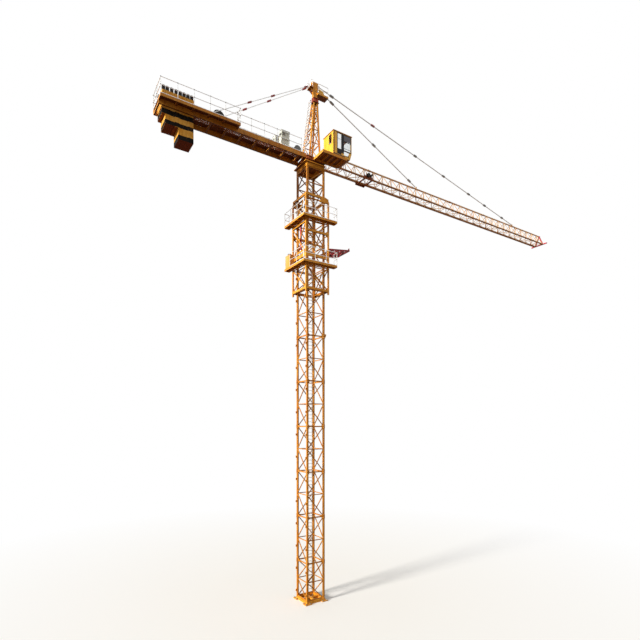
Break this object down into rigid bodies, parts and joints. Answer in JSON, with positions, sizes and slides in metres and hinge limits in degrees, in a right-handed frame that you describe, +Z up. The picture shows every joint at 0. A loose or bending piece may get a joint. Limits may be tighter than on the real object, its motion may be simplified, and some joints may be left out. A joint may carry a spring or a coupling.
{
  "type": "tower crane, half-size scale model",
  "caption": "Lattice tower crane with jib and ties, counter-jib with hanging counterweights, glazed cab, trolley and a climbing cage round the mast; one half of real size.",
  "frame": {"origin": "middle of the mast on the underside of the base frame, at ground level", "axes": "+X along the jib, -Y the side of the cab, +Z up"},
  "size_m": [23.3, 1.97, 22.0905],
  "materials": {
    "crane_paint": "satin",
    "cab_paint": "gloss",
    "machine_paint": "satin",
    "red_paint": "satin",
    "grey_steel": "galvanised",
    "counterweight_paint": "matt",
    "black_steel": "matt",
    "cabinet_paint": "satin",
    "pump_paint": "satin",
    "window_glass": "clear"
  },
  "bodies": {
    "mast": {"base_frame": "crane_paint", "mast_near_side": "crane_paint", "mast_far_side": "crane_paint", "mast_rear_side": "crane_paint", "mast_front_side": "crane_paint", "mast_ladder": "grey_steel", "leg_bracket": "crane_paint", "slewing_seat": "crane_paint", "climbing_crosshead": "crane_paint"},
    "upper": {"turntable": "machine_paint", "head_near_side": "crane_paint", "head_far_side": "crane_paint", "head_rear_side": "crane_paint", "head_front_side": "crane_paint", "head_collar": "red_paint", "head_column": "crane_paint", "head_platform": "machine_paint", "head_ladder": "grey_steel", "jib_tie_outer": "grey_steel", "jib_tie_inner": "grey_steel", "counter_jib_ties": "grey_steel", "jib_near_side": "crane_paint", "jib_far_side": "crane_paint", "jib_bottom_bracing": "crane_paint", "jib_top_chord": "crane_paint", "jib_tip_frame": "red_paint", "counter_jib_frame": "crane_paint", "wide_deck_frame": "crane_paint", "counter_jib_deck": "machine_paint", "deck_grating": "grey_steel", "counter_jib_railings": "grey_steel", "counterweight_rear": "counterweight_paint", "counterweight_middle": "counterweight_paint", "counterweight_front": "counterweight_paint", "lifting_eyes": "black_steel", "hoist_winch": "black_steel", "control_cabinets": "cabinet_paint", "machine_hood": "black_steel", "cab_platform": "crane_paint", "cab_shell": "cab_paint", "cab_roof": "cab_paint", "cab_windows": "window_glass"},
    "trolley": {"trolley_frame": "machine_paint", "trolley_wheels": "black_steel", "trolley_reels": "black_steel"},
    "cage": {"cage_near_side": "crane_paint", "cage_far_side": "crane_paint", "cage_rear_side": "crane_paint", "cage_front_low": "crane_paint", "cage_front_high": "crane_paint", "cage_rollers": "black_steel", "cage_roller_forks": "crane_paint", "cage_upper_platform": "crane_paint", "cage_lower_platform": "crane_paint", "cage_upper_railing": "grey_steel", "cage_lower_railing": "grey_steel", "climbing_cylinder": "red_paint", "pump_station": "pump_paint", "introduction_frame": "red_paint"}
  },
  "joints": [
    {"name": "slew", "type": "hinge", "parent": "mast", "child": "upper", "pos_m": [0, 0, 18.42225], "axis": [0, 0, 1], "continuous": true},
    {"name": "trolley_travel", "type": "slide", "parent": "upper", "child": "trolley", "axis": [1, 0, 0], "range_m": [-1.1, 13.3]},
    {"name": "cage_climb", "type": "slide", "parent": "mast", "child": "cage", "axis": [0, 0, 1], "range_m": [0, 0.9515]}
  ]
}
